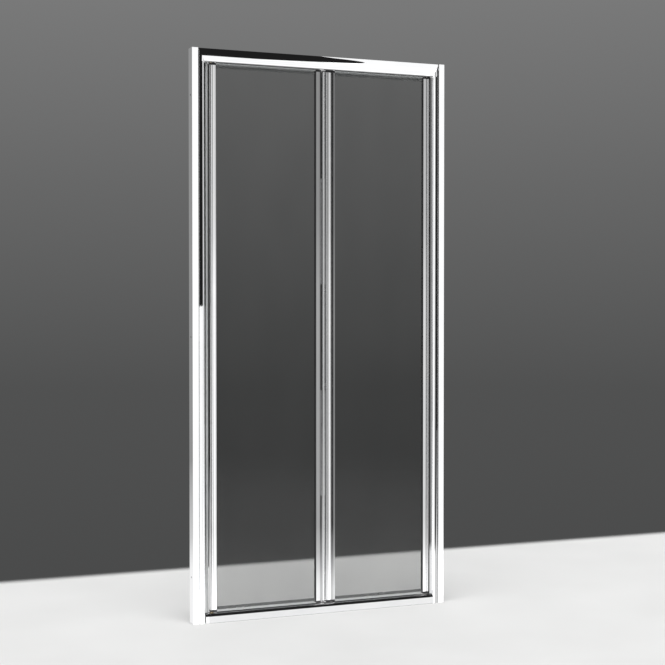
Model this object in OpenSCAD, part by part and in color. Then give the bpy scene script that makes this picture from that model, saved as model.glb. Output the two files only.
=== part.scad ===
// Bifold shower door for an alcove: a chrome frame with a fixed pivot side on the left, two glass
// leaves joined by a full-height hinge, and a carriage in the top rail that carries the free end.
// Millimetres. +X runs to the right seen from the room, -Y faces the room, +Z is up.
// The origin is the middle of the frame's footprint, on the sill's underside.

/* [Frame] */
// Width over both wall channels
overall_w = 900; // [820:5:1000]
// Height over the frame
overall_h = 1850; // [1700:10:2000]
// Depth of the frame from its front to its back
frame_d = 44; // [44:0.5:50]

/* [Wall channels] */
// Reach of a wall channel from the wall
channel_w = 21; // [18:0.5:26]
// Depth of a wall channel from front to back
channel_d = 38; // [35:0.5:40]
// Thickness of a wall channel
channel_wall = 2; // [1.6:0.1:2.6]
// Diameter of the wall screw holes
wall_hole_d = 5.5; // [4:0.1:8]
// Number of wall screw holes in each channel
wall_holes = 3; // [2:1:5]
// Height of the lowest hole, and the highest one's distance from the top
wall_hole_end = 150; // [80:5:300]
// Rounding of a wall channel's free edges
channel_round = 1.2; // [0.6:0.1:1.6]

/* [Jambs] */
// Width of a jamb's rounded front
nose_w = 21; // [18:0.5:24]
// Width of the step beside a jamb's front that takes the seal or the magnet
shoulder_w = 6; // [5:0.5:8]
// How far the step lies behind the front
shoulder_set = 15; // [12:0.5:16]
// How far the step reaches behind the track line
shoulder_back = 16; // [13:0.5:18]
// Wall thickness of a jamb
jamb_wall = 1.8; // [1.4:0.1:2.2]
// Rounding of a jamb's back edges
jamb_round = 2; // [1:0.1:3]
// How far the corner screws lie in front of the track line
port_set = 2; // [0:0.5:4]
// Wall round a corner screw inside a jamb
port_wall = 2; // [1.5:0.1:2.5]
// Reach of a jamb's tongue into its wall channel
tongue_w = 17; // [12:0.5:18]
// Clearance between a tongue and its channel, on each face
tongue_fit = 0.4; // [0.2:0.1:0.6]
// Number of screws that lock a jamb in its channel
jamb_screw_count = 3; // [2:1:5]
// Height of the lowest locking screw, and the highest one's distance from the top
jamb_screw_end = 200; // [120:5:320]
// Diameter of the locking screws
jamb_screw_d = 4; // [3:0.5:5]
// How far the locking screws reach past a tongue's wall
jamb_screw_reach = 4; // [2:0.5:8]

/* [Rails] */
// Height of the top rail
top_rail_h = 43; // [40:0.5:48]
// How far the top rail's face bulges
top_bulge = 8; // [5:0.5:9]
// How far the top rail's face lies behind the jambs' fronts
face_set = 0.5; // [0.3:0.1:1]
// Thickness of the top rail's back and roof
top_wall = 2.5; // [2:0.1:3.5]
// Height of the two ledges that the carriage rolls on
ledge_t = 4; // [3:0.5:5]
// Width of the slot between the ledges
slot_w = 10; // [9:0.5:11]
// Width of the track inside the top rail
track_w = 19; // [18:0.5:21]
// Height of the track inside the top rail
track_h = 21; // [20:0.5:23]
// Height of the hollow behind the top rail's face
duct_h = 18; // [12:0.5:20]
// Height of the bottom rail
bottom_rail_h = 30; // [28:0.5:36]
// Radius of the bottom rail's top front edge
sill_edge_r = 9; // [4:0.5:10]
// Width of the guide groove in the bottom rail
groove_w = 14; // [13.5:0.5:16]
// Depth of the guide groove
groove_depth = 20; // [19:0.5:21]
// Height of the bottom rail's back edge
sill_back_h = 12; // [8:0.5:16]
// Wall thickness of the bottom rail
sill_wall = 2.5; // [2:0.1:3]
// Width of a corner piece's face beside a jamb
corner_arm = 11; // [8:0.5:14]
// Length of a corner piece's spigot in a rail
spigot_len = 20; // [10:1:35]
// Clearance round a spigot
spigot_fit = 0.2; // [0.1:0.05:0.3]
// Clearance round a jamb's step in a bottom corner piece
corner_fit = 0.1; // [0.05:0.05:0.3]
// Radius of the corner screws
corner_screw_r = 2; // [1.5:0.1:2.5]
// Length of the corner screws
corner_screw_len = 70; // [50:1:90]
// Radius of the corner screws' heads
corner_head_r = 4.2; // [3.5:0.1:5]
// Height of the corner screws' heads
corner_head_h = 2.4; // [1.5:0.1:3]

/* [Leaf placing] */
// Gap between the left jamb's step and the pivot leaf
pivot_gap = 13.5; // [12.5:0.5:16]
// Gap between the right jamb's step and the sliding leaf
closing_gap = 5; // [4.5:0.5:8]
// Gap under the end caps
foot_gap = 4; // [3:0.5:8]
// Gap over the end caps
head_gap = 2; // [1.5:0.5:4]
// Opening angle of the pivot leaf
fold_max = 84; // [60:1:85]

/* [Stiles] */
// How far the stiles' faces lie in front of the track line
stile_front = 10; // [9:0.5:10.5]
// How far the stiles' backs lie behind the track line
stile_back = 9; // [8.5:0.5:10]
// Width of the two outer stiles
outer_stile_w = 21; // [20:0.5:26]
// Width of an outer stile's rounded ridge
ridge_w = 6.5; // [5.5:0.5:8]
// Width of the groove beside a ridge
stile_groove_w = 3.5; // [2:0.5:5]
// Depth of the grooves in the stiles
stile_groove_d = 3; // [1.5:0.5:3]
// Rounding of the stiles' ridges
ridge_r = 2.4; // [1:0.2:2.6]
// How far the flat flanges lie behind the ridges
flange_step = 0.6; // [0.2:0.1:1]
// Width of the rebate beside the hinge in the pivot leaf's stile
relief_w = 3; // [2:0.5:5]
// Thickness of the lip that covers the gap behind the hinge
lip_t = 3; // [2:0.1:4]
// Gap between that lip and the sliding leaf, closed by a soft bead
lip_gap = 3; // [2:0.5:5]
// Clearance between the bead and the sliding leaf
bead_gap = 0.3; // [0.2:0.1:0.5]
// Width of the pivot leaf's hinge stile
hinge_stile_a_w = 18; // [17:0.5:24]
// Width of the sliding leaf's hinge stile
hinge_stile_b_w = 31; // [29:0.5:36]
// Width of the rounded ridge on the sliding leaf's hinge stile
wide_ridge_w = 15.5; // [12:0.5:17]
// Width of the groove beside the wide ridge
wide_groove_w = 4.5; // [3:0.5:5]
// Wall thickness of the stiles
stile_wall = 1.8; // [1.4:0.1:2.2]
// Depth of the glass pockets
pocket_depth = 9; // [8:0.5:10]

/* [Glass and seals] */
// Thickness of the glass
glass_t = 5; // [4:0.5:6]
// Thickness of the glazing gaskets
gasket_t = 1.5; // [1:0.1:1.6]
// How far the gaskets show beside the stiles
gasket_lip = 3; // [1:0.5:4]
// Thickness of the seals on the glass edges
seal_t = 1.2; // [0.8:0.1:1.6]
// How far those seals grip the glass
seal_grip = 8; // [6:0.5:15]
// Gap between those seals and the rails
seal_gap = 0.7; // [0.5:0.1:1.5]
// Clearance between the soft seal on the left jamb's step and the turning leaf
seal_clear = 0.3; // [0.2:0.1:1]
// Depth of that seal's base from front to back
pivot_seal_d = 14; // [12:0.5:16]
// How far that seal lies behind the step's front
pivot_seal_set = 2; // [1:0.5:4]
// Thickness of that seal's base
seal_base_t = 2; // [1:0.1:2.4]
// Wall thickness of that seal's tube
seal_tube_t = 1.2; // [0.8:0.1:1.6]
// Thickness of each magnetic strip
magnet_t = 2; // [1.4:0.1:2]
// Width of the magnetic strips
magnet_w = 10; // [8:0.5:12]

/* [Hinge] */
// Distance from the hinge rod's axis to the pivot leaf's stile
hinge_reach_a = 6.25; // [6:0.05:7]
// Distance from the hinge rod's axis to the sliding leaf's stile
hinge_reach_b = 12.25; // [12:0.05:14]
// Radius of the knuckles
knuckle_r = 5; // [4.5:0.1:5.2]
// Radius of the hinge rod
rod_r = 2.5; // [2:0.1:3]
// Thickness of the hinge strips
strip_t = 2; // [1.6:0.1:2.2]
// Number of knuckles, shared between the leaves
knuckles = 5; // [3:2:11]
// Gap between two knuckles
knuckle_gap = 0.4; // [0.3:0.1:1]
// Number of screws in each hinge strip
strip_screws = 6; // [4:1:12]
// Diameter of the hinge screws
strip_screw_d = 3.5; // [3:0.5:4]
// How far the hinge screws reach past a stile's wall
strip_screw_reach = 2; // [1:0.5:3]
// How far the hinge screws lie behind the track line
strip_screw_set = 1; // [0:0.5:2]
// Thickness of the webs between the knuckles and the sliding leaf's strip
web_t = 4; // [3:0.5:5]
// How far those webs lie behind the stiles' faces
web_set = 0.5; // [0.3:0.1:1]
// How far the pivot leaf's webs reach in front of the rod's axis
web_front = 1.5; // [0.5:0.1:2]
// Thickness of the caps on the hinge rod's ends
rod_cap_t = 3; // [2.5:0.1:4]
// How far the hinge rod stands out of the end knuckles
rod_end = 2; // [1:0.1:2]
// Running clearance of rods and pins in their bores
pin_fit = 0.05; // [0.03:0.01:0.08]

/* [Pivots and end caps] */
// Radius of the pivot and track pins
pin_r = 3; // [2.5:0.1:3.2]
// Thickness of the end caps
cap_t = 6; // [4:0.5:8]
// Length of an end cap's plug inside its stile
plug_len = 30; // [20:1:45]
// Clearance round a plug
plug_fit = 0.2; // [0.1:0.05:0.3]
// Length of the pivot blocks
block_len = 28; // [28:0.5:29]
// Clearance beside the pivot blocks
block_fit = 0.1; // [0.05:0.05:0.3]
// How far the bottom pivot block lies below the sill's top
block_drop = 1; // [0.5:0.5:2]
// Thickness of the bottom pivot block under its bush
block_floor = 2; // [1:0.5:3]
// Distance of the block screws from the pivot pin
block_screw_reach = 10; // [9:0.1:10.5]
// Radius of the block screws
block_screw_r = 2; // [1.5:0.1:2.2]
// Radius of the block screws' heads
block_head_r = 3.4; // [3:0.1:3.5]
// Height of the block screws' heads
block_head_h = 2; // [1.5:0.1:2.5]
// How far the block screws reach into the rails
block_screw_bite = 5; // [3:0.5:6]
// Clearance under the block screws' tips
tip_gap = 0.5; // [0.2:0.1:1]
// Outer radius of the pivot bushes
bush_r = 4.7; // [4.2:0.1:4.8]
// Reach of the top bush into its block
bush_top_len = 17; // [12:0.5:19]
// How far the top bush stands out below the top rail
bush_low = 1; // [0.5:0.1:1.3]
// Thickness of the bottom bush under the pivot pin
bush_floor = 1; // [0.8:0.1:1.5]
// Outer radius of the bottom bush's collar
collar_r = 6.5; // [5.5:0.1:6.8]
// Running gap between that collar and the end cap on it
collar_gap = 0.3; // [0.2:0.1:0.5]
// Gap at the ends of the pivot and track pins in their bores
pin_end_gap = 2; // [1:0.1:2.5]

/* [Carriage and guide shoe] */
// Length of the carriage
carriage_len = 36; // [34:1:40]
// Width of the carriage between its wheels
carriage_w = 9.6; // [8:0.2:9.8]
// Radius of the wheels
wheel_r = 6; // [5:0.1:6.5]
// Thickness of the wheels
wheel_t = 3.5; // [3:0.1:3.7]
// Distance from the carriage's pin to each axle
axle_reach = 11; // [10.5:0.5:12]
// Radius of the axles
axle_r = 2; // [1.5:0.1:2.2]
// Gap between a wheel and its ledge
wheel_gap = 0.2; // [0.1:0.1:0.3]
// Gap beside the carriage's wheels
side_gap = 0.4; // [0.3:0.1:0.6]
// Gap between the carriage and the ledges under it
carriage_low = 1; // [0.5:0.1:1.5]
// Gap over the carriage
carriage_high = 3; // [2:0.1:3]
// Length of the track pin inside the carriage
carriage_pin_len = 13; // [10:0.5:13]
// Depth of the dish in a wheel's face
wheel_dish = 0.8; // [0.4:0.1:1.2]
// Width of a wheel's rim and of its hub
wheel_rim = 1; // [0.8:0.1:1.4]
// Rounding of the carriage's and the guide shoe's corners
slider_r = 2; // [1:0.1:3]
// Length of the buffer that stops the carriage
buffer_len = 20; // [10:1:30]
// Height of that buffer
buffer_h = 17; // [12:0.5:19]
// Gap between the open carriage and that buffer
buffer_gap = 0.5; // [0.3:0.1:1]
// Gap between the closed guide shoe and the right jamb's step
shoe_gap = 1; // [0.5:0.1:2]
// Gap under the guide shoe
shoe_low = 3; // [1:0.5:4]
// Thickness of the guide shoe under its pin
shoe_floor = 1; // [0.8:0.1:1]
// How far the guide shoe lies below the sill's top
shoe_drop = 2; // [1:0.5:3]
// Clearance between the guide shoe and its groove, on each side
shoe_fit = 0.3; // [0.2:0.1:0.5]

/* [Hidden] */
$fn = 48;
cut = 1;
// Size of a hexagon recess beside its screw's shank
socket_share = 0.8;

half_w = overall_w / 2;
half_d = frame_d / 2;
nose_r = nose_w / 2;
nose_out = half_w - channel_w;
nose_in = nose_out - nose_w;
nose_mid = nose_in + nose_r;
shoulder_in = nose_in - shoulder_w;
shoulder_y = shoulder_set - half_d;
rail_end = nose_in - corner_arm;
top_z = overall_h - top_rail_h;

// The pins stand in the middle of the outer stiles' hollows. The track line is Y = 0, through all
// of them. The hinge rod lies halfway along it at the stiles' faces, so both leaves turn through
// the same angle.
pin_inset = (outer_stile_w - pocket_depth) / 2;
pivot_edge = -shoulder_in + pivot_gap;
closing_edge = shoulder_in - closing_gap;
pivot_x = pivot_edge + pin_inset;
track_x = closing_edge - pin_inset;
hinge_x = (pivot_x + track_x) / 2;
arm = sqrt(pow(track_x - hinge_x, 2) + pow(stile_front, 2));
rest_angle = atan(stile_front / (track_x - hinge_x));
open_track_x = pivot_x + 2 * arm * cos(fold_max - rest_angle);

stile_z0 = bottom_rail_h + foot_gap + cap_t;
stile_z1 = top_z - head_gap - cap_t;
stile_h = stile_z1 - stile_z0;
pocket_w = glass_t + 2 * gasket_t;
cavity_front = stile_groove_d + stile_wall - stile_front;
cavity_back = stile_back - stile_wall;

stile_a_x = hinge_x - hinge_reach_a - hinge_stile_a_w;
stile_b_x = hinge_x + hinge_reach_b;

track_z = top_z + ledge_t;
track_top = track_z + track_h;
groove_z = bottom_rail_h - groove_depth;
axle_z = track_z + wheel_gap + wheel_r;

knuckle_pitch = stile_h / knuckles;

CHROME = [0.86, 0.87, 0.88];
STEEL = [0.66, 0.67, 0.69];
DARK = [0.16, 0.16, 0.17];
RUBBER = [0.1, 0.1, 0.11];
CLEAR = [0.8, 0.84, 0.84, 0.6];
GLASS = [0.62, 0.68, 0.68, 0.35];
NYLON = [0.9, 0.9, 0.87];
BRASS = [0.78, 0.65, 0.32];

// ---- helpers ----

// A rectangle from corner a to corner b
module box2(a, b) {
    translate(a) square(b - a);
}

// A rectangle with round corners
module round2(a, b, r) {
    box2([a[0] + r, a[1]], [b[0] - r, b[1]]);
    box2([a[0], a[1] + r], [b[0], b[1] - r]);
    for (x = [a[0] + r, b[0] - r])
        for (y = [a[1] + r, b[1] - r])
            translate([x, y]) circle(r = r);
}

module box3(a, b) {
    translate(a) cube(b - a);
}

// A vertical length of a profile drawn in plan
module upright(z0, z1) {
    translate([0, 0, z0]) linear_extrude(z1 - z0) children();
}

// A level length, along X, of a profile drawn as Y across and Z up
module level(x0, x1) {
    translate([x0, 0, 0]) rotate([90, 0, 90]) linear_extrude(x1 - x0) children();
}

// The same shape on the left
module left_hand() {
    mirror([1, 0, 0]) children();
}

module both_hands() {
    children();
    left_hand() children();
}

// Heights of n places spread evenly between two ends
function spread(n, z0, z1) = [for (i = [0 : n - 1]) z0 + (z1 - z0) * i / (n - 1)];

// A pan head screw along +Z: head above Z = 0, shank below, and a hexagon recess
module pan_screw(d, len) {
    head_r = d * 0.95;
    head_h = d / 2;
    difference() {
        union() {
            cylinder(r = head_r, h = head_h);
            translate([0, 0, -len]) cylinder(d = d, h = len + head_h / 2);
        }
        translate([0, 0, head_h / 2]) cylinder(r = d / 2 * socket_share, h = head_h, $fn = 6);
    }
}

// ---- fixed frame ----

wall_hole_z = spread(wall_holes, wall_hole_end, overall_h - wall_hole_end);
jamb_screw_z = spread(jamb_screw_count, jamb_screw_end, overall_h - jamb_screw_end);
jamb_screw_x = nose_out + tongue_w / 2;

module channel_profile() {
    y = channel_d / 2;
    difference() {
        round2([nose_out, -y], [half_w, y], channel_round);
        box2([nose_out - cut, channel_wall - y], [half_w - channel_wall, y - channel_wall]);
    }
    // square corners against the wall
    box2([half_w - channel_wall, -y], [half_w, y]);
}

module wall_channel() {
    difference() {
        upright(0, overall_h) channel_profile();
        for (z = wall_hole_z)
            translate([half_w + cut, 0, z]) rotate([0, -90, 0])
                cylinder(d = wall_hole_d, h = channel_wall + 2 * cut);
        for (z = jamb_screw_z)
            translate([jamb_screw_x, channel_d / 2 + cut, z]) rotate([90, 0, 0])
                cylinder(d = jamb_screw_d + 2 * pin_fit, h = channel_wall + 2 * cut);
    }
}

tongue_y = channel_d / 2 - channel_wall - tongue_fit;

module jamb_outline() {
    translate([nose_mid, nose_r - half_d]) circle(r = nose_r);
    box2([nose_in, nose_r - half_d], [nose_out, half_d - jamb_round]);
    round2([nose_in, 0], [nose_out, half_d], jamb_round);
    box2([shoulder_in, shoulder_y], [nose_in + cut, shoulder_back]);
    box2([nose_out - cut, -tongue_y], [nose_out + tongue_w, tongue_y]);
}

module jamb_profile() {
    difference() {
        jamb_outline();
        difference() {
            union() {
                translate([nose_mid, nose_r - half_d]) circle(r = nose_r - jamb_wall);
                box2([nose_in + jamb_wall, nose_r - half_d],
                     [nose_out - jamb_wall, half_d - jamb_wall]);
            }
            // web with the screw port for the corner piece
            box2([nose_in, -port_set - jamb_wall / 2], [nose_out, jamb_wall / 2 - port_set]);
            translate([nose_mid, -port_set]) circle(r = corner_screw_r + port_wall);
        }
        translate([nose_mid, -port_set]) circle(r = corner_screw_r + pin_fit);
        box2([shoulder_in + jamb_wall, shoulder_y + jamb_wall],
             [nose_in, shoulder_back - jamb_wall]);
        box2([nose_out, jamb_wall - tongue_y],
             [nose_out + tongue_w - jamb_wall, tongue_y - jamb_wall]);
    }
}

module jamb() {
    difference() {
        upright(0, top_z) jamb_profile();
        for (z = jamb_screw_z)
            translate([jamb_screw_x, tongue_y + cut, z]) rotate([90, 0, 0])
                cylinder(d = jamb_screw_d + 2 * pin_fit, h = jamb_wall + 2 * cut);
    }
}

module jamb_screws() {
    color(STEEL) both_hands() for (z = jamb_screw_z)
        translate([jamb_screw_x, channel_d / 2, z]) rotate([-90, 0, 0])
            pan_screw(jamb_screw_d, channel_wall + tongue_fit + jamb_wall + jamb_screw_reach);
}

bulge_r = (pow(top_rail_h / 2, 2) + pow(top_bulge, 2)) / (2 * top_bulge);
top_back = track_w / 2 + top_wall;
rail_front = face_set - half_d;
duct_y0 = rail_front + top_bulge / 2;
duct_y1 = -track_w / 2 - top_wall;

module top_rail_outline() {
    intersection() {
        translate([rail_front + bulge_r, top_z + top_rail_h / 2]) circle(r = bulge_r, $fn = 120);
        box2([-half_d - cut, top_z], [0, overall_h]);
    }
    box2([-cut, top_z], [top_back, overall_h]);
}

module track_hollow() {
    box2([-track_w / 2, track_z], [track_w / 2, track_top]);
    box2([-slot_w / 2, top_z - cut], [slot_w / 2, track_z + cut]);
}

module duct(fit) {
    z = top_z + top_rail_h / 2;
    box2([duct_y0 + fit, z - duct_h / 2 + fit], [duct_y1 - fit, z + duct_h / 2 - fit]);
}

module top_rail_profile() {
    difference() {
        top_rail_outline();
        track_hollow();
        duct(0);
        // hollow chamber over the track
        box2([-track_w / 2, track_top + top_wall], [track_w / 2, overall_h - top_wall]);
    }
}

module top_rail() {
    color(CHROME) difference() {
        level(-rail_end, rail_end) top_rail_profile();
        for (x = block_screw_x)
            translate([pivot_x + x, 0, track_top - cut])
                cylinder(r = block_screw_r + pin_fit, h = block_screw_bite + cut);
    }
}

// The corner piece carries the rail's face to a mitre with the jamb's rounded front
module corner_top() {
    color(CHROME) difference() {
        union() {
            intersection() {
                level(rail_end, nose_out) top_rail_outline();
                rotate([90, 0, 0]) linear_extrude(2 * frame_d, center = true)
                    polygon([[rail_end, top_z], [nose_in, top_z], [nose_out, overall_h],
                             [rail_end, overall_h]]);
            }
            intersection() {
                upright(top_z, overall_h) corner_plan();
                rotate([90, 0, 0]) linear_extrude(2 * frame_d, center = true)
                    polygon([[nose_in, top_z], [nose_out, top_z], [nose_out, overall_h]]);
            }
            box3([nose_in, -nose_r, top_z], [nose_out, half_d - jamb_round, overall_h]);
            level(rail_end - spigot_len, rail_end + cut) duct(spigot_fit);
        }
        level(rail_end - cut, nose_out - jamb_wall) track_hollow();
        translate([nose_mid, -port_set, top_z - cut])
            cylinder(r = corner_screw_r + pin_fit, h = top_rail_h + 2 * cut);
        translate([nose_mid, -port_set, overall_h - corner_head_h])
            cylinder(r1 = corner_screw_r + pin_fit, r2 = corner_head_r + pin_fit, h = corner_head_h);
    }
}

module corner_plan() {
    translate([nose_mid, nose_r - half_d]) circle(r = nose_r);
    box2([nose_in, nose_r - half_d], [nose_out, half_d - jamb_round]);
    round2([nose_in, 0], [nose_out, half_d], jamb_round);
}

module corner_screws() {
    color(STEEL) both_hands() translate([nose_mid, -port_set, overall_h]) difference() {
        union() {
            translate([0, 0, -corner_screw_len]) cylinder(r = corner_screw_r, h = corner_screw_len);
            translate([0, 0, -corner_head_h])
                cylinder(r1 = corner_screw_r, r2 = corner_head_r, h = corner_head_h);
        }
        translate([0, 0, -corner_head_h / 2])
            cylinder(r = corner_screw_r * socket_share, h = corner_head_h, $fn = 6);
    }
}

sill_flat_back = groove_w / 2 + sill_wall;
sill_duct_z = bottom_rail_h - sill_edge_r;

module sill_outline() {
    r = sill_edge_r;
    box2([-half_d, 0], [0, bottom_rail_h - r]);
    box2([r - half_d, 0], [sill_flat_back, bottom_rail_h]);
    translate([r - half_d, bottom_rail_h - r]) circle(r = r);
    polygon([[0, 0], [half_d, 0], [half_d, sill_back_h], [sill_flat_back, bottom_rail_h],
             [0, bottom_rail_h]]);
}

module guide_groove() {
    box2([-groove_w / 2, groove_z], [groove_w / 2, bottom_rail_h + cut]);
}

module sill_duct(fit) {
    box2([sill_wall - half_d + fit, sill_wall + fit],
         [-groove_w / 2 - sill_wall - fit, sill_duct_z - fit]);
}

module bottom_rail() {
    color(CHROME) difference() {
        level(-rail_end, rail_end) difference() {
            sill_outline();
            guide_groove();
            sill_duct(0);
            // hollows behind the groove and under it
            box2([sill_flat_back, sill_wall], [half_d - sill_wall, sill_back_h - sill_wall]);
            box2([-groove_w / 2, sill_wall], [groove_w / 2, groove_z - sill_wall]);
        }
        for (x = block_screw_x)
            translate([pivot_x + x, 0, groove_z - block_screw_bite])
                cylinder(r = block_screw_r + pin_fit, h = block_screw_bite + cut);
    }
}

module corner_bottom() {
    color(CHROME) difference() {
        union() {
            level(rail_end, nose_in) sill_outline();
            level(rail_end - spigot_len, rail_end + cut) sill_duct(spigot_fit);
        }
        level(rail_end - cut, shoulder_in) guide_groove();
        upright(-cut, bottom_rail_h + cut)
            box2([shoulder_in - corner_fit, shoulder_y - corner_fit],
                 [nose_in + cut, shoulder_back + corner_fit]);
    }
}

// How far the pivot leaf's rounded front corner reaches past the leaf's edge as it turns
leaf_corner_reach = sqrt(pow(pin_inset - ridge_r, 2) + pow(stile_front - ridge_r, 2)) + ridge_r;
pivot_seal_w = pivot_gap + pin_inset - leaf_corner_reach - seal_clear;

// Soft seal on the left jamb's step: a flat base and a hollow tube
module pivot_seal() {
    t = seal_tube_t;
    x = -shoulder_in;
    tube_x = x + seal_base_t - t;
    tube_r = pivot_seal_w / 3;
    y0 = shoulder_y + pivot_seal_set;
    y1 = y0 + pivot_seal_d;
    color(CLEAR) upright(bottom_rail_h + seal_gap, top_z - seal_gap) {
        box2([x, y0], [x + seal_base_t, y1]);
        difference() {
            round2([tube_x, y0 + seal_base_t], [x + pivot_seal_w, y1 - seal_base_t], tube_r);
            round2([tube_x + t, y0 + seal_base_t + t],
                   [x + pivot_seal_w - t, y1 - seal_base_t - t], tube_r - t);
        }
    }
}

// Magnetic strips that meet when the door is shut, with a gap for the leaf's small overrun
module magnet_strip(x0, x1) {
    round2([x0, -magnet_w / 2], [x1, magnet_w / 2], (x1 - x0) / 4);
}

module jamb_magnet() {
    color(DARK) upright(bottom_rail_h + seal_gap, top_z - seal_gap)
        magnet_strip(shoulder_in - magnet_t, shoulder_in);
}

// ---- pivots in the rails ----

block_screw_x = [-block_screw_reach, block_screw_reach];
block_bottom_z1 = bottom_rail_h - block_drop;
bush_bottom_z0 = groove_z + block_floor;
pin_floor = bush_bottom_z0 + bush_floor;
collar_z1 = stile_z0 - cap_t - collar_gap;

module pivot_block_top() {
    color(DARK) difference() {
        box3([pivot_x - block_len / 2, block_fit - track_w / 2, track_z],
             [pivot_x + block_len / 2, track_w / 2 - block_fit, track_top]);
        translate([pivot_x, 0, track_z - cut])
            cylinder(r = bush_r + pin_fit, h = bush_top_len + cut);
        for (x = block_screw_x)
            translate([pivot_x + x, 0, track_z - cut]) {
                cylinder(r = block_screw_r + pin_fit, h = track_h + 2 * cut);
                cylinder(r = block_head_r + pin_fit, h = block_head_h + cut);
            }
    }
}

module pivot_block_bottom() {
    color(DARK) difference() {
        box3([pivot_x - block_len / 2, block_fit - groove_w / 2, groove_z],
             [pivot_x + block_len / 2, groove_w / 2 - block_fit, block_bottom_z1]);
        translate([pivot_x, 0, bush_bottom_z0]) cylinder(r = bush_r + pin_fit, h = groove_depth);
        for (x = block_screw_x) {
            translate([pivot_x + x, 0, groove_z - cut])
                cylinder(r = block_screw_r + pin_fit, h = groove_depth);
            translate([pivot_x + x, 0, block_bottom_z1 - block_head_h])
                cylinder(r = block_head_r + pin_fit, h = groove_depth);
        }
    }
}

module bush_top() {
    z0 = top_z - bush_low;
    z1 = track_z + bush_top_len;
    color(BRASS) difference() {
        translate([pivot_x, 0, z0]) cylinder(r = bush_r, h = z1 - z0);
        translate([pivot_x, 0, z0 - cut]) cylinder(r = pin_r + pin_fit, h = z1 - z0 + 2 * cut);
    }
}

module bush_bottom() {
    color(BRASS) difference() {
        union() {
            translate([pivot_x, 0, bush_bottom_z0])
                cylinder(r = bush_r, h = collar_z1 - bush_bottom_z0);
            translate([pivot_x, 0, block_bottom_z1])
                cylinder(r = collar_r, h = collar_z1 - block_bottom_z1);
        }
        translate([pivot_x, 0, pin_floor]) cylinder(r = pin_r + pin_fit, h = collar_z1);
    }
}

// A cap screw along +Z: head above Z = 0, shank below
module block_screw(shank) {
    difference() {
        union() {
            cylinder(r = block_head_r, h = block_head_h);
            translate([0, 0, -shank]) cylinder(r = block_screw_r, h = shank + cut / 2);
        }
        translate([0, 0, block_head_h / 2])
            cylinder(r = block_screw_r * socket_share, h = block_head_h, $fn = 6);
    }
}

module block_screws() {
    held_top = track_h - block_head_h;
    held_bottom = block_bottom_z1 - block_head_h - groove_z;
    color(STEEL) for (x = block_screw_x) {
        translate([pivot_x + x, 0, track_z + block_head_h]) rotate([180, 0, 0])
            block_screw(held_top + block_screw_bite - tip_gap);
        translate([pivot_x + x, 0, block_bottom_z1 - block_head_h])
            block_screw(held_bottom + block_screw_bite - tip_gap);
    }
}

// Stops the carriage at the open limit
module track_buffer() {
    x1 = open_track_x - carriage_len / 2 - buffer_gap;
    color(RUBBER) box3([x1 - buffer_len, block_fit - track_w / 2, track_z],
                       [x1, track_w / 2 - block_fit, track_z + buffer_h]);
}

// ---- stile profiles ----
// An outer stile is drawn from its outer edge, u = 0, towards the glass.

module outer_outline() {
    front = -stile_front;
    round2([0, front], [ridge_w, stile_back], ridge_r);
    round2([0, front + ridge_w], [outer_stile_w, stile_back], ridge_r);
    box2([ridge_w / 2, front + stile_groove_d], [outer_stile_w, stile_back - ridge_r]);
    box2([ridge_w, 0], [outer_stile_w, stile_back]);
    box2([ridge_w + stile_groove_w, front + flange_step], [outer_stile_w, 0]);
}

module outer_cavity(fit) {
    box2([stile_wall + fit, cavity_front + fit],
         [outer_stile_w - pocket_depth - stile_wall - fit, cavity_back - fit]);
}

module outer_pocket() {
    box2([outer_stile_w - pocket_depth, -pocket_w / 2], [outer_stile_w + cut, pocket_w / 2]);
}

module outer_stile() {
    upright(stile_z0, stile_z1) difference() {
        outer_outline();
        outer_cavity(0);
        outer_pocket();
    }
}

// Hinge stile of the pivot leaf, drawn from its glass edge, u = 0, towards the hinge rod. Its lip
// covers the gap behind the hinge.
lip_x = hinge_stile_a_w + hinge_reach_a + hinge_reach_b - lip_gap;

module stile_a_outline() {
    front = -stile_front;
    w = hinge_stile_a_w;
    box2([0, front + flange_step], [w - relief_w, stile_back]);
    box2([0, front + stile_groove_d], [w, stile_back]);
}

module stile_a() {
    difference() {
        upright(stile_z0, stile_z1) difference() {
            union() {
                stile_a_outline();
                box2([hinge_stile_a_w - cut, stile_back - lip_t], [lip_x, stile_back]);
            }
            box2([-cut, -pocket_w / 2], [pocket_depth, pocket_w / 2]);
            stile_a_cavity(0);
        }
        strip_holes(hinge_stile_a_w - stile_wall - cut, hinge_stile_a_w + cut);
    }
}

module stile_a_cavity(fit) {
    box2([pocket_depth + stile_wall + fit, cavity_front + fit],
         [hinge_stile_a_w - stile_wall - fit, cavity_back - fit]);
}

// Hinge stile of the sliding leaf, drawn from its hinge edge, u = 0, towards the glass
module stile_b_outline() {
    front = -stile_front;
    w = hinge_stile_b_w;
    round2([0, front], [wide_ridge_w, stile_back], ridge_r);
    box2([0, 0], [w, stile_back]);
    box2([wide_ridge_w / 2, front + stile_groove_d], [w, stile_back]);
    box2([wide_ridge_w + wide_groove_w, front + flange_step], [w, 0]);
}

module stile_b_cavity(fit) {
    box2([stile_wall + fit, cavity_front + fit],
         [hinge_stile_b_w - pocket_depth - stile_wall - fit, cavity_back - fit]);
}

module stile_b() {
    w = hinge_stile_b_w;
    difference() {
        upright(stile_z0, stile_z1) difference() {
            stile_b_outline();
            stile_b_cavity(0);
            box2([w - pocket_depth, -pocket_w / 2], [w + cut, pocket_w / 2]);
        }
        strip_holes(-cut, stile_wall + cut);
    }
}

strip_screw_z = spread(strip_screws, stile_z0 + knuckle_pitch / 4, stile_z1 - knuckle_pitch / 4);

// Holes for the hinge screws, between two places along X
module strip_holes(x0, x1) {
    for (z = strip_screw_z)
        translate([x0, strip_screw_set, z]) rotate([0, 90, 0])
            cylinder(d = strip_screw_d + 2 * pin_fit, h = x1 - x0);
}

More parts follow.
